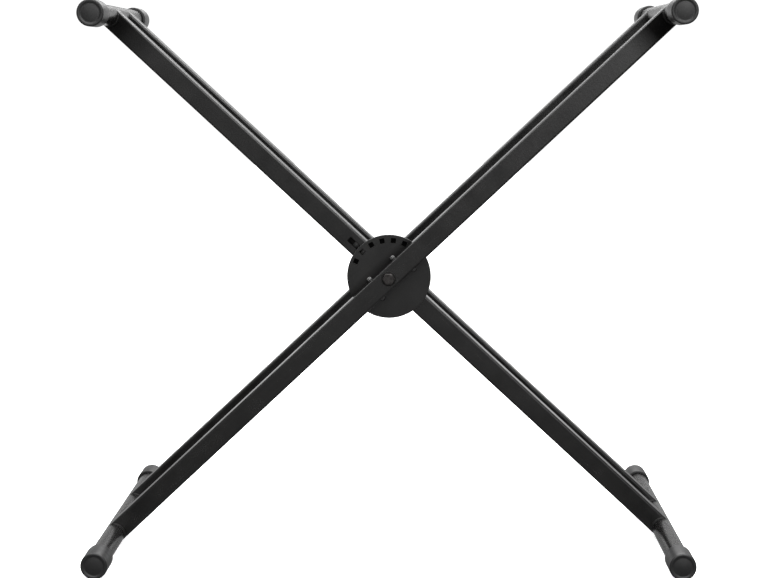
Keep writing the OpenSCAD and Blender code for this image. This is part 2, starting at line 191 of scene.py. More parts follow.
class ShaderBench(NodeBench):
    """Builds one material around a Principled shader."""

    def __init__(self, name: str, specular: float) -> None:
        """Starts a material.

        Args:
            name: The material's name.
            specular: Specular level of its surface.
        """
        self.material = bpy.data.materials.new(name)
        self.material.use_nodes = True
        super().__init__(self.material.node_tree)
        self.shader = self.node("ShaderNodeBsdfPrincipled")
        self.specular = self.shader.inputs["Specular IOR Level"]
        self.specular.default_value = specular
        output = self.node("ShaderNodeOutputMaterial")
        self.join(self.shader.outputs["BSDF"], output.inputs["Surface"])
        self.place = self.node("ShaderNodeTexCoord").outputs["Object"]

    def mapped(self, centre: Sequence[float], turn: float = 0.0,
               stretch: Sequence[float] = (1, 1, 1)) -> Socket:
        """Object coordinates moved to a centre, turned about Y and stretched.

        Args:
            centre: The point that becomes the pattern's origin, in metres.
            turn: Angle about Y, in radians.
            stretch: Scale of the pattern along its own X, Y and Z.

        Returns:
            The socket with the mapped coordinates.
        """
        at = self.place
        for setting, value in (("Location", -Vector(centre)), ("Rotation", (0, turn, 0)),
                               ("Scale", stretch)):
            made = self.node("ShaderNodeMapping", vector_type="POINT")
            made.inputs[setting].default_value = value
            self.join(at, made.inputs["Vector"])
            at = made.outputs["Vector"]
        return at

    def noise(self, size: float, detail: float, at: Socket | None = None) -> Socket:
        """A noise pattern.

        Args:
            size: Width of one spot of the pattern, in metres.
            detail: Octaves of finer noise.
            at: Coordinates to read, or None for the object's own.

        Returns:
            The noise value socket.
        """
        made = self.node("ShaderNodeTexNoise", noise_dimensions="3D")
        made.inputs["Scale"].default_value = 1 / size
        made.inputs["Detail"].default_value = detail
        self.join(at or self.place, made.inputs["Vector"])
        return made.outputs["Fac"]

    def blended(self, share: Socket, first: Tone | Socket, second: Tone | Socket) -> Socket:
        """Mixes two colours.

        Args:
            share: How much of the second shows, 0 to 1.
            first: A colour or a colour socket.
            second: A colour or a colour socket.

        Returns:
            The colour socket.
        """
        made = self.node("ShaderNodeMix", data_type="RGBA")
        self.join(share, made.inputs["Factor"])
        for name, tone in (("A", first), ("B", second)):
            target = next(s for s in made.inputs if s.name == name and s.type == "RGBA")
            self.feed(tone if isinstance(tone, Socket) else (*tone, 1.0), target)
        return next(s for s in made.outputs if s.type == "RGBA")

    def raised(self, height: Socket, depth: float, under: Socket | None = None) -> Socket:
        """Turns a height pattern into a bumped normal.

        Args:
            height: The pattern, 0 to 1.
            depth: Height of the relief, in metres.
            under: A normal that this relief lies on.

        Returns:
            The normal socket.
        """
        made = self.node("ShaderNodeBump")
        made.inputs["Strength"].default_value = 1.0
        made.inputs["Distance"].default_value = depth
        self.join(height, made.inputs["Height"])
        if under is not None:
            self.join(under, made.inputs["Normal"])
        return made.outputs["Normal"]

    def finish(self, colour: Socket, roughness: Socket, normal: Socket) -> bpy.types.Material:
        """Joins the three patterns to the shader.

        Args:
            colour: The base colour.
            roughness: The roughness.
            normal: The bumped normal.

        Returns:
            The finished material.
        """
        self.join(colour, self.shader.inputs["Base Color"])
        self.join(roughness, self.shader.inputs["Roughness"])
        self.join(normal, self.shader.inputs["Normal"])
        return self.material


@dataclass(frozen=True)
class Marks:
    """Sparse pale marks on a coat: the high spots of a noise.

    Attributes:
        size: Width of one mark, in metres.
        detail: Octaves of finer noise.
        cut: Noise values at which a mark begins and is full.
        lift: How many times as light as the coat's light tone they are.
        share: How much of that tone shows.
    """

    size: float
    detail: float
    cut: Span
    lift: float
    share: float

    def mask(self, bench: ShaderBench, at: Socket | None = None) -> Socket:
        """Says where the marks are, 0 to 1."""
        return bench.ranged(bench.noise(self.size, self.detail, at), self.cut)

    def over(self, bench: ShaderBench, mask: Socket, tone: Socket, light: Tone) -> Socket:
        """Lays the marks over a coat.

        Args:
            bench: The material in the making.
            mask: Where the marks are.
            tone: The coat without them.
            light: The coat's light tone.

        Returns:
            The colour socket.
        """
        pale = tuple(self.lift * part for part in light)
        return bench.blended(bench.ranged(mask, WHOLE, (0, self.share)), tone, pale)


@dataclass(frozen=True)
class PaintedShadeBand:
    """Painted shade on a coated front face: a band where the coat's specular level drops, standing in for
    the shade that parts next to it cast.

    Attributes:
        centre: Where the band is measured from.
        face: Depth of the face.
        axis: "X" where it is measured along the coat's run, "Z" where across it.
        start: Where the gloss begins to drop.
        full: Where the painted shade is deepest.
        stop: Where all gloss is back. It begins to come back halfway from full to here.
        specular: Specular level where the painted shade is deepest.
        skin: Depth behind the face up to which the shade is painted.
        fade: Depth behind the face from which it isn't.
    """

    centre: Vector
    face: float
    axis: str
    start: float
    full: float
    stop: float
    specular: float
    skin: float = 0.2 * MM
    fade: float = 0.6 * MM

    def level(self, bench: ShaderBench, run: float, glossy: float) -> Socket:
        """Specular level of the coat, with its drop over the band of painted shade.

        Args:
            bench: The material in the making.
            run: Angle about Y of the coat's run.
            glossy: Specular level outside the band.

        Returns:
            The socket of the level.
        """
        at = bench.mapped(self.centre, run)
        along, depth = bench.coordinate(self.axis, at), bench.coordinate("Y", at)
        share = bench.combined(
            "MULTIPLY",
            bench.ranged(along, (self.start, self.full)),
            bench.ranged(along, (self.stop, (self.stop + self.full) / 2)),
            bench.ranged(depth, (self.face + self.fade, self.face + self.skin)),
        )
        return bench.ranged(share, WHOLE, (glossy, self.specular))


@dataclass(frozen=True)
class PowderCoat:
    """Finely textured semi-gloss black powder coat on steel.

    Attributes:
        name: The material's name.
        dark: Its deepest tone.
        light: The tone of thinner coat and settled dust.
        gloss: Mean roughness.
        specular: Specular level of the coat.
        grain: Size of the fine texture, in metres.
        grain_depth: Height of the fine texture, in metres.
        peel: Size of the slow waviness, in metres.
        peel_depth: Height of the slow waviness, in metres.
        patch: Size of its uneven patches, in metres.
        run: Angle about Y of the direction that scuffs follow.
        scuff_ratio: Width of a scuff as a share of its length.
        painted_shade: The band of painted shade on its front face, if it has one.
        grain_rough: What the texture takes from the roughness and adds to it.
        patch_rough: What the patches take from it and add to it.
        scuff_rough: What a scuff adds to it.
    """

    name: str
    dark: Tone = (0.0036, 0.0035, 0.0034)
    light: Tone = (0.007, 0.0068, 0.0066)
    gloss: float = 0.21
    specular: float = 0.42
    grain: float = 0.75 * MM
    grain_depth: float = 0.022 * MM
    peel: float = 3.2 * MM
    peel_depth: float = 0.045 * MM
    patch: float = 28 * MM
    run: float = 0.0
    scuff_ratio: float = 0.04
    painted_shade: PaintedShadeBand | None = None
    grain_rough: float = 0.05
    patch_rough: Span = (-0.03, 0.04)
    scuff_rough: float = 0.07

    def material(self) -> bpy.types.Material:
        """Builds the coat: mottled tone, fine grain, orange peel, specks of dust, faint scuffs and, where
        given, a band of painted shade.

        Returns:
            The material.
        """
        bench = ShaderBench(self.name, self.specular)
        specks = Marks(self.grain * 1.4, detail=1, cut=(0.62, 0.74), lift=3.2, share=0.35)
        scuffs = Marks(2.2 * MM, detail=3, cut=(0.66, 0.78), lift=3.0, share=0.22)
        patch = bench.noise(self.patch, detail=3)
        speck = specks.mask(bench)
        scuff = scuffs.mask(bench, bench.mapped((0, 0, 0), self.run, (self.scuff_ratio, 1, 1)))
        tone = bench.blended(bench.ranged(patch, (0.35, 0.7)), self.dark, self.light)
        tone = specks.over(bench, speck, tone, self.light)
        tone = scuffs.over(bench, scuff, tone, self.light)
        fine = bench.noise(self.grain, detail=2)
        rough = bench.combined(
            "ADD",
            bench.ranged(fine, MIDDLE, (self.gloss - self.grain_rough, self.gloss + self.grain_rough)),
            bench.ranged(patch, MIDDLE, self.patch_rough),
            bench.ranged(scuff, WHOLE, (0, self.scuff_rough)),
        )
        # Painted shade: where a band is given, the specular level drops over it, darkening the face as the
        # shade of nearby parts would.
        if self.painted_shade is not None:
            bench.join(self.painted_shade.level(bench, self.run, self.specular), bench.specular)
        wavy = bench.raised(bench.noise(self.peel, detail=1), self.peel_depth)
        return bench.finish(tone, rough, bench.raised(fine, self.grain_depth, wavy))


@dataclass(frozen=True)
class MouldedRubber:
    """Matt black rubber with a fine moulded grain and a dusty bloom.

    Attributes:
        name: The material's name.
        dark: The rubber itself.
        bloom: The pale film on it and in its pores.
        gloss: Mean roughness.
        specular: Specular level of its surface.
        grain: Size of the moulded grain, in metres.
        grain_depth: Height of that grain, in metres.
        swell: Size of its soft unevenness, in metres.
        swell_depth: Height of that unevenness, in metres.
        patch: Size of the patches of bloom, in metres.
        pore: Size of the pores, in metres.
        grain_rough: What the grain takes from the roughness and adds to it.
        patch_rough: What the patches take from it and add to it.
    """

    name: str
    dark: Tone = (0.003, 0.003, 0.0032)
    bloom: Tone = (0.009, 0.009, 0.009)
    gloss: float = 0.42
    specular: float = 0.5
    grain: float = 0.9 * MM
    grain_depth: float = 0.04 * MM
    swell: float = 4 * MM
    swell_depth: float = 0.05 * MM
    patch: float = 9 * MM
    pore: float = 1.5 * MM
    grain_rough: float = 0.06
    patch_rough: Span = (-0.04, 0.06)

    def material(self) -> bpy.types.Material:
        """Builds the rubber.

        Returns:
            The material.
        """
        bench = ShaderBench(self.name, self.specular)
        grain = bench.noise(self.grain, detail=2)
        patch = bench.noise(self.patch, detail=4)
        film = bench.ranged(patch, (0.45, 0.75), (0, 0.6))
        pores = bench.ranged(bench.noise(self.pore, detail=1), (0.6, 0.72), (0, 0.5))
        tone = bench.blended(pores, bench.blended(film, self.dark, self.bloom), self.bloom)
        rough = bench.combined(
            "ADD",
            bench.ranged(grain, MIDDLE, (self.gloss - self.grain_rough, self.gloss + self.grain_rough)),
            bench.ranged(patch, MIDDLE, self.patch_rough),
        )
        soft = bench.raised(bench.noise(self.swell, detail=1), self.swell_depth)
        return bench.finish(tone, rough, bench.raised(grain, self.grain_depth, soft))


@dataclass(frozen=True)
class BareMetal:
    """Plated, oiled or drawn steel with fine marks.

    Attributes:
        name: The material's name.
        clean: The metal's own tone.
        stained: The tone of its darker patches.
        gloss: Mean roughness.
        metallic: How metallic the surface is.
        centre: The origin of its pattern.
        stretch: How far the marks are drawn out along Y.
        specular: Specular level of the part that isn't metallic.
        patch: Size of the patches, in metres.
        patch_depth: Height of their relief, in metres.
        mark: Size of the fine marks, in metres.
        mark_depth: Height of their relief, in metres.
        mark_rough: What the marks take from the roughness and add to it.
        patch_rough: What the patches take from it and add to it.
    """

    name: str
    clean: Tone
    stained: Tone
    gloss: float
    metallic: float = 1.0
    centre: Sequence[float] = (0.0, 0.0, 0.0)
    stretch: float = 1.0
    specular: float = 0.5
    patch: float = 3 * MM
    patch_depth: float = 0.03 * MM
    mark: float = 0.5 * MM
    mark_depth: float = 0.015 * MM
    mark_rough: float = 0.07
    patch_rough: Span = (-0.05, 0.08)

    def material(self) -> bpy.types.Material:
        """Builds the metal.

        Returns:
            The material.
        """
        bench = ShaderBench(self.name, self.specular)
        bench.shader.inputs["Metallic"].default_value = self.metallic
        at = bench.mapped(self.centre, stretch=(1, 1 / self.stretch, 1))
        patch = bench.noise(self.patch, 4, at)
        mark = bench.noise(self.mark, 2, at)
        tone = bench.blended(bench.ranged(patch, (0.4, 0.68)), self.clean, self.stained)
        rough = bench.combined(
            "ADD",
            bench.ranged(mark, MIDDLE, (self.gloss - self.mark_rough, self.gloss + self.mark_rough)),
            bench.ranged(patch, MIDDLE, self.patch_rough),
        )
        low = bench.raised(patch, self.patch_depth)
        return bench.finish(tone, rough, bench.raised(mark, self.mark_depth, low))


@dataclass(frozen=True)
class MouldedPlastic:
    """Moulded plastic with a spark-textured skin.

    Attributes:
        name: The material's name.
        dark: The plastic itself.
        worn: The tone of its polished high spots.
        gloss: Mean roughness.
        specular: Specular level of its skin.
        grain: Size of the texture, in metres.
        grain_depth: Height of the texture, in metres.
        patch: Size of the polished spots, in metres.
        grain_rough: What the texture takes from the roughness and adds to it.
        patch_rough: What the polish adds to it and takes from it.
        shade_to: Depth in front of which it is painted near black as shade, if it is.
        shade_tone: The tone of that painted shade.
        shade_specular: Specular level of the painted shade.
        shade_fade: Depth over which the painted shade ends, in metres.
    """

    name: str
    dark: Tone
    worn: Tone
    gloss: float = 0.5
    specular: float = 0.5
    grain: float = 0.6 * MM
    grain_depth: float = 0.03 * MM
    patch: float = 7 * MM
    grain_rough: Span = (-0.05, 0.07)
    patch_rough: Span = (0.04, -0.06)
    shade_to: float | None = None
    shade_tone: Tone = (0.001, 0.001, 0.001)
    shade_specular: float = 0.02
    shade_fade: float = 0.5 * MM

    def material(self) -> bpy.types.Material:
        """Builds the plastic.

        Returns:
            The material.
        """
        bench = ShaderBench(self.name, self.specular)
        spark = bench.node("ShaderNodeTexVoronoi", feature="F1")
        spark.inputs["Scale"].default_value = 1 / self.grain
        bench.join(bench.place, spark.inputs["Vector"])
        cells = spark.outputs["Distance"]
        patch = bench.noise(self.patch, detail=3)
        tone = bench.blended(bench.ranged(patch, (0.42, 0.72)), self.dark, self.worn)
        # Painted shade: in front of the given depth the plastic turns near black with almost no specular,
        # standing in for the shade on a face that lies deep behind other parts.
        if self.shade_to is not None:
            depth = bench.coordinate("Y", bench.place)
            clean = bench.ranged(depth, (self.shade_to, self.shade_to + self.shade_fade))
            tone = bench.blended(clean, self.shade_tone, tone)
            bench.join(bench.ranged(clean, WHOLE, (self.shade_specular, self.specular)), bench.specular)
        low, high = self.grain_rough
        rough = bench.combined(
            "ADD",
            bench.ranged(cells, (0.1, 0.8), (self.gloss + low, self.gloss + high)),
            bench.ranged(patch, MIDDLE, self.patch_rough),
        )
        return bench.finish(tone, rough, bench.raised(cells, self.grain_depth))


@dataclass(frozen=True)
class Layout:
    """Where the leg pairs and the hub lie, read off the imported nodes.

    Attributes:
        pivot: Middle of the pivot.
        slope: Angle of the outer legs above the floor.
        reach: Distance from the pivot to the arm and foot tubes.
        outer_faces: Distances of the outer legs' flat faces from the middle, inner one first.
        inner_faces: The same of the inner legs.
        disc_front: Depth of the bearing disc's front.
    """

    pivot: Vector
    slope: float
    reach: float
    outer_faces: Span
    inner_faces: Span
    disc_front: float

    @classmethod
    def measured(cls) -> "Layout":
        """Reads the pivot sleeve, an arm, the two front legs and the bearing disc.

        Returns:
            The layout.
        """
        low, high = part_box("hub_sleeve")
        pivot = (low + high) / 2
        low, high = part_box("outer_arm")
        arm = (low + high) / 2 - pivot
        faces = []
        for node in ("outer_leg_front", "inner_leg_front"):
            low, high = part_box(node)
            faces.append((-high.y, -low.y))
        disc_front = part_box("bearing_disc")[0].y
        return cls(pivot, math.atan2(arm.z, arm.x), math.hypot(arm.x, arm.z), *faces, disc_front)

    def outer(self) -> Matrix:
        """Places what is drawn along +X from the pivot onto the outer pair."""
        return Matrix.Translation(self.pivot) @ Matrix.Rotation(-self.slope, 4, "Y")

    def inner(self) -> Matrix:
        """Places what is drawn along +X from the pivot onto the inner pair."""
        return Matrix.Translation(self.pivot) @ Matrix.Rotation(self.slope - math.pi, 4, "Y")


class Paintbox:
    """Holds one material for each finish, made once and shared.

    Attributes:
        shade_depth: Depth up to which the front of the bearing disc is painted near black as shade, seen in
            the lock plate's holes.
    """

    shade_depth: float = 0.6 * MM

    def __init__(self, layout: Layout) -> None:
        """Builds the materials.

        Args:
            layout: Where the leg pairs and the hub lie.
        """
        pivot, slope = layout.pivot, layout.slope
        # Both leg coats carry painted shade: the front legs' front faces lose their specular level towards
        # the arm ends, where the arms shade them.
        self.outer_coat = PowderCoat("powder_coat_outer", run=slope, painted_shade=PaintedShadeBand(
            pivot, -layout.outer_faces[1], "X", start=404 * MM, full=438 * MM, stop=560 * MM,
            specular=0.0)).material()
        self.inner_coat = PowderCoat("powder_coat_inner", run=-slope, painted_shade=PaintedShadeBand(
            pivot, -layout.inner_faces[1], "X", start=-400 * MM, full=-446 * MM, stop=-560 * MM,
            specular=0.06)).material()
        self.tube_coat = PowderCoat("powder_coat_round_tubes", gloss=0.25, specular=0.26, grain=1.6 * MM,
                                    grain_depth=0.08 * MM).material()
        # The plate's coat carries painted shade: its front loses its specular level in a strip along the
        # upper edge of the outer front leg, where the leg shades it.
        self.plate = PowderCoat("powder_coat_plate", gloss=0.36, specular=0.34, run=slope, painted_shade=PaintedShadeBand(
            pivot, -layout.outer_faces[0], "Z", start=23 * MM, full=13 * MM, stop=-10 * MM,
            specular=0.1)).material()
        self.weld = PowderCoat("powder_coat_weld", gloss=0.3, specular=0.2, grain=0.5 * MM,
                               peel=1.8 * MM).material()
        self.bead = PowderCoat("powder_coat_bead", gloss=0.2, specular=1.0, grain=0.9 * MM, peel=1.8 * MM,
                               peel_depth=0.2 * MM).material()
        self.rubber = MouldedRubber("cap_rubber_black").material()
        self.fastener = BareMetal("black_oxide", (0.042, 0.039, 0.038), (0.014, 0.0125, 0.012),
                                  gloss=0.34, metallic=0.75, centre=pivot).material()
        self.washer = BareMetal("washer_black", (0.006, 0.0055, 0.0052), (0.003, 0.0028, 0.0026),
                                gloss=0.45, metallic=0.3, centre=pivot, specular=0.24).material()
        # Painted shade: near black and almost without specular, for the lever's part in the latch slot's
        # opening, where the slot shades it.
        self.slot_shade = BareMetal("latch_slot_shade", (0.003, 0.0028, 0.0026), (0.0015, 0.0014, 0.0013),
                                gloss=0.6, metallic=0.0, specular=0.06).material()
        self.zinc = BareMetal("zinc_plate", (0.34, 0.35, 0.36), (0.2, 0.2, 0.2), gloss=0.4).material()
        self.wire = BareMetal("drawn_wire", (0.5, 0.5, 0.51), (0.24, 0.24, 0.25), gloss=0.26,
                              stretch=0.4).material()
        # The bearing disc's front is painted near black as shade, for its face seen deep in the lock plate's
        # holes.
        self.nylon = MouldedPlastic("bearing_nylon", (0.008, 0.008, 0.0082), (0.014, 0.0138, 0.0135),
                                    specular=0.4, shade_to=layout.disc_front + self.shade_depth).material()
        self.insert = MouldedPlastic("insert_nylon", (0.05, 0.11, 0.3), (0.08, 0.16, 0.38),
                                     gloss=0.4).material()
        self.grip = MouldedPlastic("grip_plastic_black", (0.013, 0.013, 0.014), (0.026, 0.026, 0.027),
                                   gloss=0.48).material()


class Piece:
    """A bmesh that becomes one named and dressed object."""

    def __init__(self, name: str) -> None:
        """Starts an empty piece.

        Args:
            name: The piece's name.
        """
        self.name = name
        self.bm = bmesh.new()

    def lathe(self, outline: Outline, steps: int, closed: bool = False) -> list[bmesh.types.BMVert]:
        """Spins an outline round the Y axis.

        Args:
            outline: Points as radius and distance along Y.
            steps: Number of steps in a full turn.
            closed: Whether the outline is a loop, as of a ring.

        Returns:
            The vertices of the new form.
        """
        old = set(self.bm.verts)
        verts = [self.bm.verts.new((radius, along, 0)) for radius, along in outline]
        ends = zip(verts, verts[1:] + verts[:1] if closed else verts[1:])
        edges = [self.bm.edges.new(pair) for pair in ends]
        bmesh.ops.spin(self.bm, geom=verts + edges, cent=(0, 0, 0), axis=(0, 1, 0),
                       angle=FULL_TURN, steps=steps, use_merge=True)
        made = [v for v in self.bm.verts if v not in old]
        bmesh.ops.remove_doubles(self.bm, verts=made, dist=MERGE)
        return [v for v in self.bm.verts if v not in old]

    def slice(self, point: Vector, normal: Vector, verts: Iterable[bmesh.types.BMVert]) -> None:
        """Cuts away what lies beyond a plane and closes the cut.

        Args:
            point: A point on the plane.
            normal: Direction that is cut away.
            verts: The vertices of the form to cut.
        """
        chosen = set(verts)
        edges = [e for e in self.bm.edges if chosen.issuperset(e.verts)]
        faces = [f for f in self.bm.faces if chosen.issuperset(f.verts)]
        cut = bmesh.ops.bisect_plane(self.bm, geom=list(chosen) + edges + faces, plane_co=point,
                                     plane_no=normal, clear_outer=True)
        rim = [g for g in cut["geom_cut"] if isinstance(g, bmesh.types.BMEdge)]
        bmesh.ops.edgeloop_fill(self.bm, edges=rim)

    def break_edges(self, angle: float, width: float, segments: int) -> None:
        """Rounds every edge that turns more than an angle.

        Args:
            angle: The angle, in degrees.
            width: Width of the rounding.
            segments: Its number of steps.
        """
        crisp = [e for e in self.bm.edges if e.calc_face_angle(0.0) > math.radians(angle)]
        bmesh.ops.bevel(self.bm, geom=crisp, offset=width, offset_type="OFFSET", affect="EDGES",
                        segments=segments, profile=0.5, clamp_overlap=True, material=-1)

    def move(self, matrix: Matrix, verts: Iterable[bmesh.types.BMVert] | None = None) -> None:
        """Moves vertices by a matrix, all of them unless some are given."""
        bmesh.ops.transform(self.bm, matrix=matrix, verts=list(verts or self.bm.verts))

    def finish(self, material: bpy.types.Material, sharp: float = 38.0) -> bpy.types.Object:
        """Turns the piece into an object at the origin.

        Args:
            material: Its finish.
            sharp: Edges that turn more than this many degrees stay crisp.

        Returns:
            The object.
        """
        bmesh.ops.recalc_face_normals(self.bm, faces=self.bm.faces[:])
        limit = math.radians(sharp)
        for face in self.bm.faces:
            face.smooth = True
        for edge in self.bm.edges:
            edge.smooth = len(edge.link_faces) == 2 and edge.calc_face_angle(0.0) < limit
        mesh = bpy.data.meshes.new(self.name)
        self.bm.to_mesh(mesh)
        self.bm.free()
        mesh.materials.append(material)
        made = bpy.data.objects.new(self.name, mesh)
        bpy.context.scene.collection.objects.link(made)
        return made


def mount(piece: bpy.types.Object, body: Body, slot: Slot, *nodes: str) -> None:
    """Lets a finished piece ride on its body and stand for CAD nodes.

    Args:
        piece: The piece.
        body: The body that carries it.
        slot: The record's slot of its finish; not used.
        *nodes: The CAD nodes that it replaces.
    """
    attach(piece, body.value)
    if nodes:
        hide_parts(*nodes)
    log.info("%s: %d faces, rides on %s", piece.name, len(piece.data.polygons), body.value)


def dress(node: str, material: bpy.types.Material) -> None:
    """Gives a CAD node that stays in view its finish.

    Args:
        node: The node's name.
        material: Its finish.
    """
    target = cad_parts[node]
    target.data.materials.clear()
    target.data.materials.append(material)
    log.info("%s: CAD node kept, finish %s", node, material.name)


def arc(centre: tuple[float, float], radius: float, start: float, end: float,
        steps: int) -> list[tuple[float, float]]:
    """Points along an arc of an outline.

    Args:
        centre: The arc's middle.
        radius: Its radius.
        start: First angle, in degrees.
        end: Last angle, in degrees.
        steps: Number of steps.

    Returns:
        The points, both ends included.
    """
    angles = (math.radians(start + (end - start) * i / steps) for i in range(steps + 1))
    return [(centre[0] + radius * math.cos(a), centre[1] + radius * math.sin(a)) for a in angles]


@dataclass(frozen=True)
class RubberCap:
    """A rubber cap: rounded rim, raised ring, low crown, skirt and rolled lip.

    Attributes:
        length: Length over the tube.
        radius: Outside radius.
        face: Thickness of the closed end.
        bore: Radius of the bore.
        rim: Rounding of the outer edge.
        ring: Width of the raised ring, with the rim.
        slope: Width of the groove's outer slope.
        dish: Depth of the groove inside the ring.
        crown: Depth of the crown's middle below the ring, as a share of the dish.
        lip: Rounding of the open end.
        chamfer: Chamfer of the bore.
        steps: Steps in a full turn.
    """

    length: float
    radius: float = 16 * MM
    face: float = 4 * MM
    bore: float = 12.72 * MM
    rim: float = 1.7 * MM
    ring: float = 3.4 * MM
    slope: float = 1.6 * MM
    dish: float = 1.0 * MM
    crown: float = 0.06
    lip: float = 0.8 * MM
    chamfer: float = 0.5 * MM
    steps: int = 96

    def outline(self) -> list[tuple[float, float]]:
        """The cap's half section, from the middle of its face round to its inner floor.

        Returns:
            Points as radius and depth behind the face.
        """
        ring = self.radius - self.ring
        groove = ring - self.slope
        shares = [i / 9 for i in range(10)]
        crown = [(groove * s, self.dish * (self.crown + (1 - self.crown) * s ** 2)) for s in shares]
        return [
            *crown,
            (groove + self.slope * 0.25, self.dish * 0.97),
            (ring - self.slope * 0.125, self.dish * 0.22),
            (ring + self.dish * 0.3, 0.0),
            *arc((self.radius - self.rim, self.rim), self.rim, -90, 0, 7),
            (self.radius, self.length * 0.5),
            *arc((self.radius - self.lip, self.length - self.lip), self.lip, 0, 90, 4),
            (self.bore + self.chamfer, self.length),
            (self.bore, self.length - self.chamfer),
            (self.bore, self.face),
            (0.0, self.face),
        ]

    def build(self, name: str, centre: Vector, end: End, material: bpy.types.Material,
              body: Body) -> None:
        """Builds one cap on the end of a tube.

        Args:
            name: The CAD node that it replaces.
            centre: Middle of the tube's end, on the cap's outer face.
            end: Which end of the tube it closes.
            material: The rubber.
            body: The body that carries it.
        """
        piece = Piece(name + "_rubber")
        piece.lathe(self.outline(), self.steps)
        flip = Matrix.Scale(-end.value, 4, Vector((0, 1, 0)))
        piece.move(Matrix.Translation(centre) @ flip)
        mount(piece.finish(material), body, Slot.RUBBER, name)


@dataclass(frozen=True)
class WeldSeam:
    """A rippled bead in the corner between a leg's flat face and a round tube.

    Attributes:
        tube: Radius of the round tube that it follows.
        half_width: Half of the width that it covers on the leg's face.
        throat: Radius of the bead.
        pitch: Distance from ripple to ripple.
        trough: Share of the throat between two ripples.
        ripple: Height of a ripple, as a share of the throat.
        taper_from: Share of the half length from which the bead is drawn in.
        taper_long: Share over which it would come to a point.
        tip: Least share of the throat, at its ends.
        sides: Sides of its section.
        steps: Steps along it.
    """

    tube: float = 12.7 * MM
    half_width: float = 10 * MM
    throat: float = 2.1 * MM
    pitch: float = 1.5 * MM
    trough: float = 0.84
    ripple: float = 0.13
    taper_from: float = 0.86
    taper_long: float = 0.16
    tip: float = 0.25
    sides: int = 12
    steps: int = 64

    @property
    def half(self) -> float:
        """Half of the angle that it covers round the tube."""
        return math.asin(self.half_width / self.tube)

    def swell(self, angle: float, middle: float) -> float:
        """Share of the throat at an angle along the bead.

        Args:
            angle: Place along the bead.
            middle: Angle of its middle.

        Returns:
            The share: ripples along the bead, drawn in at both ends.
        """
        away = abs(angle - middle) / self.half
        wave = abs(math.sin((angle - middle) * self.tube / self.pitch * math.pi))
        drawn = max(0.0, (away - self.taper_from) / self.taper_long)
        taper = math.sqrt(max(0.0, 1 - drawn ** 2))
        return (self.trough + self.ripple * wave) * max(self.tip, taper)

    def add(self, piece: Piece, along: float, face: float, middle: float) -> None:
        """Adds one bead to a piece, in the frame of its leg.

        Args:
            piece: The piece that collects the beads.
            along: Place of the round tube along the leg.
            face: The leg face that the bead lies against.
            middle: Angle round the tube of the bead's middle.
        """
        ring = bmesh.ops.create_circle(piece.bm, segments=self.sides, radius=self.throat)["verts"]
        start = Matrix.Rotation(-(middle - self.half), 4, "Y") @ Matrix.Translation((self.tube, 0, 0))
        piece.move(start, ring)
        edges = list({e for v in ring for e in v.link_edges})
        old = set(piece.bm.verts) - set(ring)
        bmesh.ops.spin(piece.bm, geom=ring + edges, cent=(0, 0, 0), axis=(0, -1, 0),
                       angle=2 * self.half, steps=self.steps)
        made = [v for v in piece.bm.verts if v not in old]
        for vert in made:
            angle = math.atan2(vert.co.z, vert.co.x) % FULL_TURN
            if middle < math.pi / 2 and angle > math.pi:
                angle -= FULL_TURN
            core = Vector((self.tube * math.cos(angle), 0, self.tube * math.sin(angle)))
            vert.co = core + (vert.co - core) * self.swell(angle, middle)
        rims = [e for e in piece.bm.edges if e.is_boundary and e.verts[0] not in old]
        bmesh.ops.holes_fill(piece.bm, edges=rims, sides=self.sides)
        piece.move(Matrix.Translation((along, face, 0)), made)


@dataclass(frozen=True)
class LegPair:
    """One pair of legs with its arm, foot, caps and seams.

    Attributes:
        name: "outer" or "inner".
        body: The body that it is.
        place: Matrix from the leg's own frame to the stand's.
        reach: Distance from the pivot to the round tubes.
        faces: The depths of the two flat faces of the rear leg.
    """

    name: str
    body: Body
    place: Matrix
    reach: float
    faces: Span

    def build(self, coat: bpy.types.Material, paint: Paintbox) -> None:
        """Builds and dresses the pair.

        Args:
            coat: The powder coat of this pair.
            paint: The other finishes.
        """
        for tube, finish in (("leg_front", coat), ("leg_rear", coat), ("arm", paint.tube_coat),
                             ("foot", paint.tube_coat)):
            dress(f"{self.name}_{tube}", finish)
        self.seams(paint.weld)
        for tube in ("arm", "foot"):
            self.caps(tube, paint.rubber)

    def seams(self, material: bpy.types.Material) -> None:
        """Lays the beads on both faces of both legs at the arm and the foot.

        Args:
            material: The coat of the beads.
        """
        piece = Piece(f"{self.name}_seam_beads")
        bead = WeldSeam()
        for side in (-1, 1):
            for face in self.faces:
                bead.add(piece, self.reach, side * face, math.pi)
                bead.add(piece, -self.reach, side * face, 0.0)
        piece.move(self.place)
        mount(piece.finish(material, 60), self.body, Slot.WELD, f"{self.name}_seams")

    def caps(self, tube: str, material: bpy.types.Material) -> None:
        """Caps both ends of a round tube.

        Args:
            tube: "arm" or "foot".
            material: The rubber.
        """
        for end in End:
            node = f"{self.name}_{tube}_cap_{end.name.lower()}"
            low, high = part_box(node)
            centre = (low + high) / 2
            centre.y = low.y if end is End.FRONT else high.y
            RubberCap(high.y - low.y).build(node, centre, end, material, self.body)


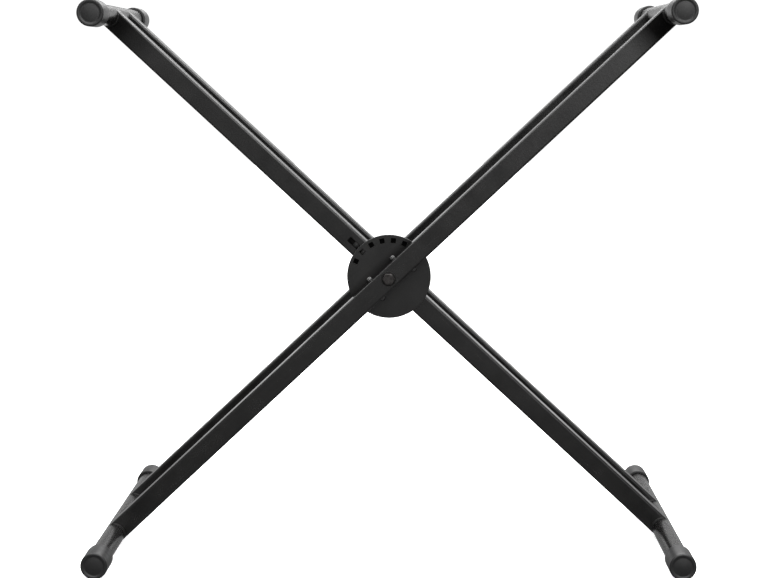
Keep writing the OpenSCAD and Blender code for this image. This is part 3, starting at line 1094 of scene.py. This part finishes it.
@dataclass(frozen=True)
class LockPlate:
    """The lock plate and the short beads that hold it to its leg.

    Attributes:
        place: Matrix of the outer pair.
        front: Depth of the plate's front face.
        leg: Half width of the leg.
        spots: Place along the leg and side of it, for each bead.
        length: Half length of a bead.
        height: Height of a bead's middle drop over plate and leg.
        set_off: Distance of the drops' middles from the leg.
        drop_long: Half length of one drop, as a share of the bead's.
        drop_step: Distance from drop to drop, as a share of the same.
        outer_drop: How much lower the two outer drops are, as a share.
        varied: How far the drops of one bead differ from those of the next, as a share.
        sunk: How far a bead goes into the plate.
    """

    place: Matrix
    front: float
    leg: float = 12.5 * MM
    spots: tuple[tuple[float, int], ...] = (
        (19 * MM, 1), (-20 * MM, 1), (28.5 * MM, -1), (-24 * MM, -1))
    length: float = 3.75 * MM
    height: float = 4.32 * MM
    set_off: float = 1.08 * MM
    drop_long: float = 0.62
    drop_step: float = 0.42
    outer_drop: float = 0.12
    varied: float = 0.05
    sunk: float = 0.3 * MM

    def build(self, paint: Paintbox) -> None:
        """Dresses the plate and adds its beads.

        Args:
            paint: The finishes.
        """
        dress("lock_disc", paint.plate)
        piece = Piece("plate_beads")
        for index, (along, side) in enumerate(self.spots):
            self.bead(piece, along, side, index)
        piece.move(self.place)
        mount(piece.finish(paint.bead, 60), Body.OUTER, Slot.WELD, "disc_welds")

    def bead(self, piece: Piece, along: float, side: int, index: int) -> None:
        """Adds one short bead of three overlapping drops.

        Args:
            piece: The piece that collects the beads.
            along: Place along the leg.
            side: +1 above the leg, -1 below it.
            index: Number of the bead, which varies its drops.
        """
        for drop in (-1, 0, 1):
            made = bmesh.ops.create_uvsphere(piece.bm, u_segments=20, v_segments=12, radius=1.0)["verts"]
            grow = 1 - self.outer_drop * abs(drop) + self.varied * math.sin(3 * index + drop)
            size = Matrix.Diagonal((self.length * self.drop_long, self.height * grow,
                                    self.height * grow, 1))
            spot = Vector((along + drop * self.length * self.drop_step, self.front,
                           side * (self.leg + self.set_off)))
            piece.move(Matrix.Translation(spot) @ size, made)
            piece.slice(Vector((0, self.front + self.sunk, 0)), Vector((0, 1, 0)), made)


@dataclass(frozen=True)
class PivotHardware:
    """Hexagon bolt, washers, lock nut and what runs on the bolt.

    Attributes:
        pivot: Middle of the pivot.
        leg_face: Distance of the outer legs' outer faces from the middle.
        shank: Radius of the bolt.
        flats: Width across the flats.
        washer: Thickness of a washer.
        washer_radius: Radius of a washer.
        washer_roll: Rounding of its edge.
        play: Radial play of the bolt in a washer.
        head: Height of the head.
        head_chamfer: Height of the head's chamfer at its corners.
        head_hollow: Depth of the hollow in the middle of its top.
        bearing: Height of the round bearing face under the head.
        nut: Height of the nut.
        collar: Height of the nut's round collar.
        stub: Length of bolt beyond the nut.
        thread: Pitch of the thread.
        thread_long: Length of thread in front of the nut.
        root: Radius of the thread's root, as a share of the shank's.
        per_turn: Steps in one turn of the thread.
        steps: Steps in a full turn.
    """

    pivot: Vector
    leg_face: float
    shank: float = 4 * MM
    flats: float = 13 * MM
    washer: float = 1.6 * MM
    washer_radius: float = 9 * MM
    washer_roll: float = 0.4 * MM
    play: float = 0.25 * MM
    head: float = 5.5 * MM
    head_chamfer: float = 1.3 * MM
    head_hollow: float = 0.25 * MM
    bearing: float = 0.4 * MM
    nut: float = 8 * MM
    collar: float = 2 * MM
    stub: float = 3 * MM
    thread: float = 1.25 * MM
    thread_long: float = 4 * MM
    root: float = 0.86
    per_turn: int = 36
    steps: int = 96

    @property
    def seat(self) -> float:
        """Distance of the head's and the nut's seats from the middle."""
        return self.leg_face + self.washer

    @property
    def corner(self) -> float:
        """Radius of the hexagon's corners."""
        return self.flats / math.sqrt(3)

    def build(self, paint: Paintbox) -> None:
        """Builds the fasteners and dresses what runs on the bolt.

        Args:
            paint: The finishes.
        """
        self.bolt(paint.fastener)
        self.lock_nut(paint.fastener, paint.insert)
        self.washers(paint.washer)
        for node, finish in (("crush_sleeves", paint.zinc), ("rear_spacer", paint.zinc),
                             ("hub_sleeve", paint.inner_coat), ("pivot_bushes", paint.nylon),
                             ("bearing_disc", paint.nylon)):
            dress(node, finish)

    def hexagon(self, piece: Piece, outline: Outline) -> None:
        """Lathes a chamfered blank and cuts its six flats, the first one on top.

        Args:
            piece: The piece to add it to.
            outline: The blank's half section.
        """
        made = piece.lathe(outline, self.steps)
        for k in range(6):
            angle = math.radians(90 + 60 * k)
            flat = Vector((math.cos(angle), 0, math.sin(angle)))
            made = [v for v in made if v.is_valid]
            old = set(piece.bm.verts) - set(made)
            piece.slice(flat * self.flats / 2, flat, made)
            made = [v for v in piece.bm.verts if v not in old]

    def bolt(self, material: bpy.types.Material) -> None:
        """Builds the bolt: hexagon head with a bearing face, shank and threaded end.

        Args:
            material: The bolt's finish.
        """
        piece = Piece("pivot_bolt_steel")
        foot, top = -self.seat, -self.seat - self.head
        under = foot - self.bearing
        self.hexagon(piece, [
            (0, under), (self.corner, under), (self.corner, top + self.head_chamfer),
            (self.flats * 0.465, top), (self.flats * 0.45, top), (0, top + self.head_hollow)])
        bearing = self.flats * 0.46
        piece.lathe([(0, foot), (bearing, foot), (bearing, under - 0.05 * MM), (0, under - 0.05 * MM)],
                    self.steps)
        end, thread = self.seat + self.nut + self.stub, self.seat - self.thread_long
        root = self.shank * self.root
        piece.lathe([(0, foot), (self.shank, foot), (self.shank, thread), (root, thread + 0.6 * MM),
                     (root, end - 0.7 * MM), (self.shank * 0.72, end), (0, end)], self.steps)
        self.helix(piece, thread, end - 1.0 * MM)
        piece.move(Matrix.Translation(self.pivot))
        mount(piece.finish(material, 30), Body.OUTER, Slot.FASTENER, "pivot_bolt")

    def helix(self, piece: Piece, start: float, end: float) -> None:
        """Winds the thread's ridge on the bolt's end.

        Args:
            piece: The bolt.
            start: Where the thread starts.
            end: Where it ends.
        """
        root, crest, half = self.shank * 0.85, self.shank * 0.995, self.thread * 0.44
        corners = [(root, start - half), (crest, start - half * 0.2), (crest, start + half * 0.2),
                   (root, start + half)]
        verts = [piece.bm.verts.new((r, y, 0)) for r, y in corners]
        edges = [piece.bm.edges.new(pair) for pair in zip(verts, verts[1:] + verts[:1])]
        steps = int((end - start) / self.thread * self.per_turn)
        old = set(piece.bm.verts) - set(verts)
        bmesh.ops.spin(piece.bm, geom=verts + edges, cent=(0, 0, 0), axis=(0, 1, 0),
                       dvec=(0, self.thread / self.per_turn, 0),
                       angle=FULL_TURN * steps / self.per_turn, steps=steps)
        rims = [e for e in piece.bm.edges if e.is_boundary and e.verts[0] not in old]
        bmesh.ops.holes_fill(piece.bm, edges=rims, sides=len(corners))

    def lock_nut(self, material: bpy.types.Material, insert: bpy.types.Material) -> None:
        """Builds the nut and the nylon ring in its collar.

        Args:
            material: The nut's finish.
            insert: The ring's finish.
        """
        piece = Piece("pivot_nut_steel")
        seat, shoulder, top = self.seat, self.seat + self.nut - self.collar, self.seat + self.nut
        self.hexagon(piece, [
            (0, seat), (self.flats * 0.475, seat), (self.corner, seat + 1.0 * MM),
            (self.corner, shoulder - 1.2 * MM), (self.flats * 0.46, shoulder), (0, shoulder)])
        wall, bore, curl = self.flats / 2 - 0.8 * MM, self.shank + 0.1 * MM, 1.1 * MM
        mouth, ledge, base = wall - 1.9 * MM, top - 0.9 * MM, shoulder - 0.5 * MM
        piece.lathe([
            (bore, base), (wall, base), (wall, top - curl),
            *arc((wall - curl, top - curl), curl, 0, 90, 5),
            (mouth + 0.2 * MM, top), (mouth, top - 0.3 * MM), (mouth, ledge), (bore, ledge)],
            self.steps, closed=True)
        piece.move(Matrix.Translation(self.pivot))
        mount(piece.finish(material, 30), Body.OUTER, Slot.FASTENER, "pivot_nut")
        ring = Piece("pivot_nut_insert")
        rim, hole = mouth + 0.05 * MM, self.shank + 0.05 * MM
        ring.lathe([(hole, ledge - 0.4 * MM), (rim, ledge - 0.4 * MM), (rim, ledge + 0.15 * MM),
                    (hole + 0.55 * MM, ledge + 0.3 * MM), (hole, ledge + 0.1 * MM)],
                   self.steps, closed=True)
        ring.move(Matrix.Translation(self.pivot))
        mount(ring.finish(insert, 40), Body.OUTER, Slot.NYLON)

    def washers(self, material: bpy.types.Material) -> None:
        """Builds both washers with the rolled edge of a stamping.

        Args:
            material: Their finish.
        """
        piece = Piece("pivot_washers")
        bore, roll = self.shank + self.play, self.washer_roll
        edge = self.washer_radius - roll
        for side in (-1, 1):
            low, high = sorted((side * self.seat, side * self.leg_face))
            piece.lathe([(bore, low), *arc((edge, low + roll), roll, -90, 0, 4),
                         *arc((edge, high - roll), roll, 0, 90, 4), (bore, high)],
                        self.steps, closed=True)
        piece.move(Matrix.Translation(self.pivot))
        mount(piece.finish(material), Body.OUTER, Slot.FASTENER, "bolt_washers")


@dataclass(frozen=True)
class LatchWork:
    """The latch: lever and tooth, hinge pin, return spring and finger grip.

    Attributes:
        place: Matrix of the inner pair.
        leg_back: Depth of the leg's back face.
        spring_at: Distance of the return spring from the pivot.
        coil: Radius of the spring's curl.
        wire: Radius of its wire.
        curls: Number of open curls.
        closed_curl: Share of a turn that is closed at each end.
        closed_pitch: Rise of a closed turn, as a multiple of the wire's radius.
        lever_edge: Width of the lever's broken edges.
        grip_under: Depth of the grip's inner face.
        grip_low: Start of the grip along the leg.
        grip_long: Length of the grip.
        grip_wide: Width of the grip.
        grip_thick: Thickness of the grip.
        grip_edge: Rounding of its edges.
        grip_drawn: How much narrower it is at its ends, as a share.
        hollows: Number of its finger hollows.
        hollow: Depth of a hollow.
        seat_radius: Radius of the spring's seat on it.
        seat_high: Height of that seat.
        shade_from: Distance from the pivot where the lever's part painted as shade begins.
        shade_front: Depth up to which that part reaches back.
    """

    place: Matrix
    leg_back: float
    spring_at: float = 113 * MM
    coil: float = 3.75 * MM
    wire: float = 0.44 * MM
    curls: int = 4
    closed_curl: float = 0.6
    closed_pitch: float = 2.1
    lever_edge: float = 0.35 * MM
    grip_under: float = -26 * MM
    grip_low: float = 101 * MM
    grip_long: float = 45 * MM
    grip_wide: float = 21 * MM
    grip_thick: float = 8 * MM
    grip_edge: float = 1.0 * MM
    grip_drawn: float = 0.115
    hollows: int = 3
    hollow: float = 1.5 * MM
    seat_radius: float = 2.6 * MM
    seat_high: float = 2.6 * MM
    shade_from: float = 59.4 * MM
    shade_front: float = -50 * MM

    def build(self, paint: Paintbox) -> None:
        """Builds and dresses the latch.

        Args:
            paint: The finishes.
        """
        self.lever(paint.plate, paint.slot_shade)
        self.grip(paint.grip)
        self.spring(paint.wire)
        dress("latch_pin", paint.zinc)
        dress("spring_stud", paint.zinc)

    def lever(self, material: bpy.types.Material, slot_shade: bpy.types.Material) -> None:
        """Rebuilds the lever from its CAD form with broken edges.

        Args:
            material: The lever's coat.
            slot_shade: The near-black finish painted as shade on its part that shows in the slot's opening.
        """
        piece = Piece("latch_lever_steel")
        piece.bm.from_mesh(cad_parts["latch_lever"].data)
        bmesh.ops.remove_doubles(piece.bm, verts=piece.bm.verts[:], dist=MERGE)
        bmesh.ops.dissolve_limit(piece.bm, angle_limit=math.radians(1), verts=piece.bm.verts[:],
                                 edges=piece.bm.edges[:])
        piece.break_edges(35, self.lever_edge, 2)
        lever = piece.finish(material, 50)
        lever.data.materials.append(slot_shade)
        back = self.place.inverted()
        # Faces far out along the lever and near the leg's front get the second material: painted shade in
        # the slot's opening.
        for face in lever.data.polygons:
            spot = back @ face.center
            face.material_index = int(spot.x > self.shade_from and spot.y < self.shade_front)
        mount(lever, Body.LATCH, Slot.PLATE, "latch_lever")

    def grip(self, material: bpy.types.Material) -> None:
        """Builds the grip: a rounded pad with three finger hollows and a seat for the spring.

        Args:
            material: The grip's plastic.
        """
        piece = Piece("trigger_grip_pad")
        outer = self.grip_under + self.grip_thick
        bmesh.ops.create_grid(piece.bm, x_segments=60, y_segments=16, size=0.5)
        for vert in piece.bm.verts:
            share, across = vert.co.x, vert.co.y
            drawn_in = 1 - self.grip_drawn * abs(2 * share) ** 6
            vert.co = Vector((self.grip_low + self.grip_long * (share + 0.5), outer,
                              self.grip_wide * across * drawn_in))
        solid = bmesh.ops.extrude_face_region(piece.bm, geom=piece.bm.faces[:])
        floor = [g for g in solid["geom"] if isinstance(g, bmesh.types.BMVert)]
        bmesh.ops.translate(piece.bm, verts=floor, vec=(0, -self.grip_thick, 0))
        for vert in set(piece.bm.verts).difference(floor):
            share = (vert.co.x - self.grip_low) / self.grip_long
            vert.co.y -= self.hollow * (0.5 - 0.5 * math.cos(FULL_TURN * self.hollows * share))
        bmesh.ops.recalc_face_normals(piece.bm, faces=piece.bm.faces[:])
        piece.break_edges(50, self.grip_edge, 4)
        low, radius, chamfer = self.grip_under - self.seat_high, self.seat_radius, 0.4 * MM
        root = self.grip_under + 1 * MM
        seat = piece.lathe([(0, low), (radius - chamfer, low), (radius, low + chamfer), (radius, root),
                            (0, root)], 32)
        piece.move(Matrix.Translation((self.spring_at, 0, 0)), seat)
        piece.move(self.place)
        mount(piece.finish(material, 50), Body.LATCH, Slot.GRIP, "trigger_grip")

    def spring(self, material: bpy.types.Material) -> None:
        """Winds the return spring, with a closed curl at each end, between the leg's back and the grip.

        Args:
            material: The wire's finish.
        """
        piece = Piece("return_spring_wire")
        sides, per_turn, sunk = 10, 32, 0.5 * MM
        ring = bmesh.ops.create_circle(piece.bm, segments=sides, radius=self.wire)["verts"]
        start, end = self.leg_back + sunk, self.grip_under - sunk
        piece.move(Matrix.Translation((self.coil, start, 0)), ring)
        geom = ring + list({e for v in ring for e in v.link_edges})
        tight = self.closed_pitch * self.wire
        loose = (end - start - 2 * self.closed_curl * tight) / self.curls
        for turns, rise in ((self.closed_curl, tight), (self.curls, loose), (self.closed_curl, tight)):
            steps = round(turns * per_turn)
            wound = bmesh.ops.spin(piece.bm, geom=geom, cent=(0, 0, 0), axis=(0, 1, 0),
                                   dvec=(0, rise / per_turn, 0), angle=FULL_TURN * steps / per_turn,
                                   steps=steps)
            geom = wound["geom_last"]
        rims = [e for e in piece.bm.edges if e.is_boundary]
        bmesh.ops.holes_fill(piece.bm, edges=rims, sides=sides)
        piece.move(self.place @ Matrix.Translation((self.spring_at, 0, 0)))
        coil = piece.finish(material, 60)
        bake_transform(coil)
        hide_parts("latch_spring")
        log.info("%s: %d faces, bends between leg and latch", coil.name, len(coil.data.polygons))


@dataclass(frozen=True)
class FloorGlow:
    """Brightness of the floor as the stand's gloss mirrors it, by its place along Y.

    Attributes:
        wall: Brightness at the wall in front.
        far: Brightness far in front of the stand.
        near: Brightness close to the stand.
        under: Brightness under it.
        behind: Brightness far behind it.
        wall_to_far: Where the first of these changes to the second.
        far_to_near: Where the second changes to the third.
        near_to_under: Where the third changes to the fourth.
        under_to_near: Where it changes back.
        near_to_behind: Where the third changes to the last.
    """

    wall: float = 0.34
    far: float = 0.6
    near: float = 0.28
    under: float = 0.34
    behind: float = 0.95
    wall_to_far: Span = (-4.5, -2.6)
    far_to_near: Span = (-2.4, -0.45)
    near_to_under: Span = (-0.3, -0.1)
    under_to_near: Span = (0.3, 0.7)
    near_to_behind: Span = (0.8, 3.0)

    def pattern(self, bench: ShaderBench) -> Socket:
        """Adds the changes up along the floor.

        Args:
            bench: The floor's material in the making.

        Returns:
            The brightness socket.
        """
        place = bench.coordinate("Y", bench.place)
        changes = (
            (self.wall_to_far, (self.wall - self.far, 0)),
            (self.far_to_near, (self.far, self.near)),
            (self.near_to_under, (0, self.under - self.near)),
            (self.under_to_near, (0, self.near - self.under)),
            (self.near_to_behind, (0, self.behind - self.near)),
        )
        return bench.combined("ADD", *(bench.ranged(place, where, change) for where, change in changes))


@dataclass(frozen=True)
class Softbox:
    """A rectangular lamp.

    Attributes:
        name: Its name.
        spot: Where it hangs.
        aim: The point that it faces.
        size: Its width and height.
        watts: Its power.
    """

    name: str
    spot: tuple[float, float, float]
    aim: tuple[float, float, float]
    size: Span
    watts: float

    def hang(self) -> None:
        """Adds the lamp to the scene."""
        data = bpy.data.lights.new(self.name, "AREA")
        data.shape, data.size, data.size_y, data.energy = "RECTANGLE", *self.size, self.watts
        lamp = bpy.data.objects.new(self.name, data)
        ahead = Vector(self.aim) - Vector(self.spot)
        turn = ahead.to_track_quat("-Z", "Y").to_matrix().to_4x4()
        lamp.matrix_world = Matrix.Translation(Vector(self.spot)) @ turn
        bpy.context.scene.collection.objects.link(lamp)


@dataclass(frozen=True)
class Studio:
    """Camera, floor and light.

    Attributes:
        eye: The camera's place.
        yaw: Turn to the right, in radians.
        pitch: Turn upwards, in radians.
        roll: Turn about the line of sight, in radians.
        focal: Focal length, in pixels of the photograph.
        photo_width: Width of the photograph, in pixels.
        sensor: Width of the camera's sensor, in millimetres.
        floor_radius: Radius of the floor.
        floor_tones: Its darkest and its lightest tone.
        floor_lift: Light that the floor adds to what the camera sees of it.
        floor_glow: Brightness of the floor in the gloss.
        front: Brightness of the room in front, at its lower left and at its upper right.
        front_tilt: Directions between which it changes, as the sum of their X and Z.
        flag: Brightness in front at the far left and right.
        flag_width: Directions between which it changes to that, either way along X.
        back: Brightness of the room behind, at the horizon and above it.
        back_height: Directions between which it changes, along Z.
        side: Directions between which front changes to back, along Y.
        paper: Brightness of the white paper that the camera sees.
        lamps: The softboxes: over the stand, behind it, and in front at the right.
    """

    eye: tuple[float, float, float] = (0.034745, -2.33, 0.59682)
    yaw: float = -0.017561
    pitch: float = -0.12096
    roll: float = -0.003099
    focal: float = 1836.364
    photo_width: float = 770.0
    sensor: float = 36.0
    floor_radius: float = 9.0
    floor_tones: tuple[Tone, Tone] = ((0.93, 0.93, 0.93), (0.95, 0.95, 0.95))
    floor_lift: float = 0.8
    floor_glow: FloorGlow = FloorGlow()
    front: Span = (0.68, 2.9)
    front_tilt: Span = (0.04, 0.24)
    flag: float = 0.3
    flag_width: Span = (0.34, 0.6)
    back: Span = (0.95, 0.6)
    back_height: Span = (0.0, 0.15)
    side: Span = (-0.35, 0.2)
    paper: float = 1.1
    lamps: tuple[Softbox, ...] = (
        Softbox("softbox_over", (0.0, -0.05, 2.5), (0.0, -0.05, 0.3), (6.2, 1.1), 120),
        Softbox("softbox_back", (0.4, 2.2, 2.0), (0.0, 0.0, 0.3), (1.6, 1.6), 25),
        Softbox("softbox_front", (1.2, -2.1, 2.1), (0.0, 0.0, 0.5), (0.9, 0.9), 10),
    )

    def build(self) -> None:
        """Sets up the whole studio."""
        self.camera()
        self.floor()
        self.sky()
        for lamp in self.lamps:
            lamp.hang()
        bpy.context.scene.view_settings.view_transform = "Standard"

    def camera(self) -> None:
        """Places the camera where the photograph was taken from."""
        ahead = Vector((math.sin(self.yaw) * math.cos(self.pitch),
                        math.cos(self.yaw) * math.cos(self.pitch), math.sin(self.pitch)))
        level = Vector((math.cos(self.yaw), -math.sin(self.yaw), 0))
        upright = level.cross(ahead)
        right = math.cos(self.roll) * level + math.sin(self.roll) * upright
        up = -math.sin(self.roll) * level + math.cos(self.roll) * upright
        data = bpy.data.cameras.new("studio_camera")
        data.sensor_fit, data.sensor_width = "HORIZONTAL", self.sensor
        data.lens = self.focal * self.sensor / self.photo_width
        data.clip_end = 100.0
        camera = bpy.data.objects.new("studio_camera", data)
        turn = Matrix((right, up, -ahead)).transposed().to_4x4()
        camera.matrix_world = Matrix.Translation(Vector(self.eye)) @ turn
        bpy.context.scene.collection.objects.link(camera)
        bpy.context.scene.camera = camera

    def floor(self) -> None:
        """Lays a plain pale floor under the stand, which mirrors less in the gloss near the stand."""
        piece = Piece("studio_floor")
        bmesh.ops.create_circle(piece.bm, cap_ends=True, segments=128, radius=self.floor_radius)
        bench = ShaderBench("studio_paper", specular=0.05)
        weave = bench.noise(20 * MM, detail=3)
        seen = bench.node("ShaderNodeLightPath").outputs["Is Camera Ray"]
        pale = bench.blended(bench.ranged(weave, MIDDLE), *self.floor_tones)
        tone = bench.blended(seen, BLACK, pale)
        rough = bench.ranged(weave, MIDDLE, (0.85, 0.95))
        strength = bench.ranged(seen, WHOLE, (self.floor_glow.pattern(bench), self.floor_lift))
        bench.shader.inputs["Emission Color"].default_value = (1, 1, 1, 1)
        bench.join(strength, bench.shader.inputs["Emission Strength"])
        floor = piece.finish(bench.finish(tone, rough, bench.raised(weave, 0.01 * MM)))

    def sky(self) -> None:
        """Surrounds the stand with white paper, brightest in front at the upper right."""
        world = bpy.data.worlds.new("studio_sweep")
        bpy.context.scene.world = world
        world.use_nodes = True
        bench = NodeBench(world.node_tree)
        heading = bench.node("ShaderNodeTexCoord").outputs["Generated"]
        x, y, z = (bench.coordinate(axis, heading) for axis in "XYZ")
        front = bench.ranged(bench.combined("ADD", x, z), self.front_tilt, self.front)
        back = bench.ranged(z, self.back_height, self.back)
        wide = bench.node("ShaderNodeMath", operation="ABSOLUTE")
        bench.join(x, wide.inputs[0])
        flagged = bench.ranged(wide.outputs["Value"], self.flag_width, (front, self.flag))
        lit, seen = bench.node("ShaderNodeBackground"), bench.node("ShaderNodeBackground")
        for sheet, strength in ((lit, bench.ranged(y, self.side, (flagged, back))), (seen, self.paper)):
            sheet.inputs["Color"].default_value = (1, 1, 1, 1)
            bench.feed(strength, sheet.inputs["Strength"])
        mix, path = bench.node("ShaderNodeMixShader"), bench.node("ShaderNodeLightPath")
        bench.join(path.outputs["Is Camera Ray"], mix.inputs["Fac"])
        bench.join(lit.outputs["Background"], mix.inputs[1])
        bench.join(seen.outputs["Background"], mix.inputs[2])
        bench.join(mix.outputs["Shader"], bench.node("ShaderNodeOutputWorld").inputs["Surface"])


def main() -> None:
    """Builds the stand and its studio."""
    logging.basicConfig(level=logging.INFO, format="%(name)s %(message)s")
    layout = Layout.measured()
    paint = Paintbox(layout)
    LegPair("outer", Body.OUTER, layout.outer(), layout.reach, layout.outer_faces).build(
        paint.outer_coat, paint)
    LegPair("inner", Body.INNER, layout.inner(), layout.reach, layout.inner_faces).build(
        paint.inner_coat, paint)
    LockPlate(layout.outer(), -layout.outer_faces[0]).build(paint)
    PivotHardware(layout.pivot, layout.outer_faces[1]).build(paint)
    LatchWork(layout.inner(), -layout.inner_faces[0]).build(paint)
    Studio().build()


if __name__ == "__main__":
    main()
